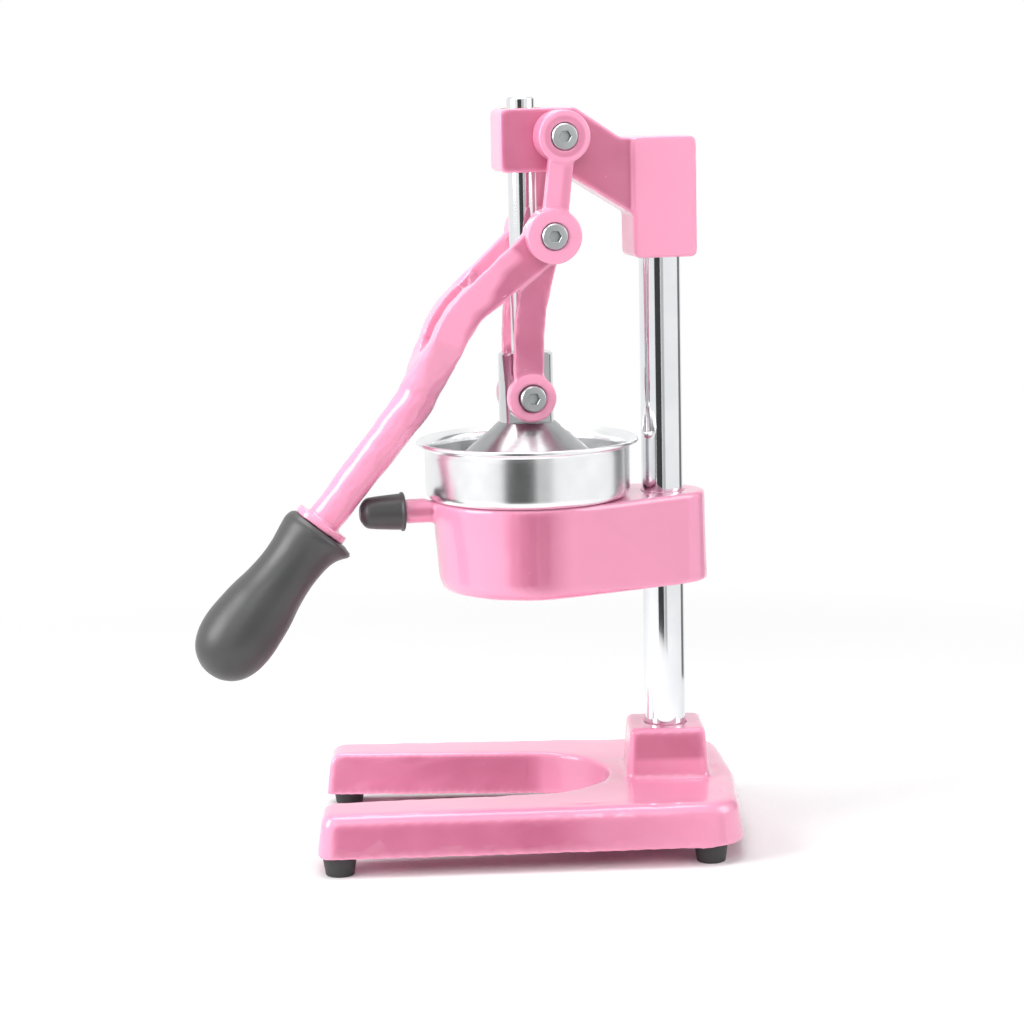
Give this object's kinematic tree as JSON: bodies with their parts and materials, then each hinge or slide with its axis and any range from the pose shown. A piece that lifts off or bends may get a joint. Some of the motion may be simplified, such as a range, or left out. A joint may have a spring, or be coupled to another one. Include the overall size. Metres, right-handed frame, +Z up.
{
  "type": "lever citrus juice press",
  "caption": "Free-standing lever press for citrus fruit: horseshoe base, steel post, bowl with strainer and funnel, and a long lever that drives a press bell through a toggle linkage.",
  "frame": {"origin": "middle of the footprint's box on the surface that the feet stand on", "axes": "+Z up along the post; -X to the front, where the lever points at rest; +Y to the far side"},
  "size_m": [0.2972, 0.1958, 0.3945],
  "materials": {
    "paint": "gloss pink paint on cast metal",
    "foot_rubber": "matte black rubber",
    "grip_rubber": "satin dark grey moulded rubber",
    "chrome": "polished chrome plate",
    "stainless": "polished stainless sheet",
    "fastener": "bright zinc plated steel",
    "bronze": "plain bronze bush"
  },
  "bodies": {
    "frame": {"base": "paint", "foot_near_front": "foot_rubber", "foot_far_front": "foot_rubber", "foot_near_rear": "foot_rubber", "foot_far_rear": "foot_rubber", "foot_screws": "fastener", "post": "chrome", "post_bolt": "fastener", "post_washer": "fastener", "head": "paint", "head_set_screw": "fastener", "guide_bush": "bronze", "holder": "paint", "holder_set_screw": "fastener", "holder_knob": "grip_rubber", "juice_bowl": "stainless", "strainer": "stainless", "top_pivot_bolt": "fastener", "top_pivot_nut": "fastener"},
    "link": {"link_near": "paint", "link_far": "paint"},
    "lever": {"lever": "paint", "grip": "grip_rubber", "elbow_bolts": "fastener"},
    "plunger": {"guide_rod": "chrome", "column": "chrome", "press_bell": "stainless", "bell_screw": "fastener", "lower_pivot_bolt": "fastener", "lower_pivot_nut": "fastener"}
  },
  "joints": [
    {"name": "link_swing", "type": "hinge", "parent": "frame", "child": "link", "pos_m": [0.0461, -0.01655, 0.3745], "axis": [0, -1, 0], "range_deg": [0, 62]},
    {"name": "lever_turn", "type": "hinge", "parent": "link", "child": "lever", "pos_m": [0.03991, -0.01655, 0.32388], "axis": [0, 1, 0], "range_deg": [0, 99.1]},
    {"name": "press_drive", "type": "hinge", "parent": "lever", "child": "plunger", "pos_m": [0.0296, -0.01655, 0.2395], "axis": [0, -1, 0], "range_deg": [0, 37.1]}
  ],
  "couplings": [
    {"joint": "lever_turn", "follows": "link_swing", "ratio": 1.597},
    {"joint": "press_drive", "follows": "link_swing", "ratio": 0.597}
  ]
}
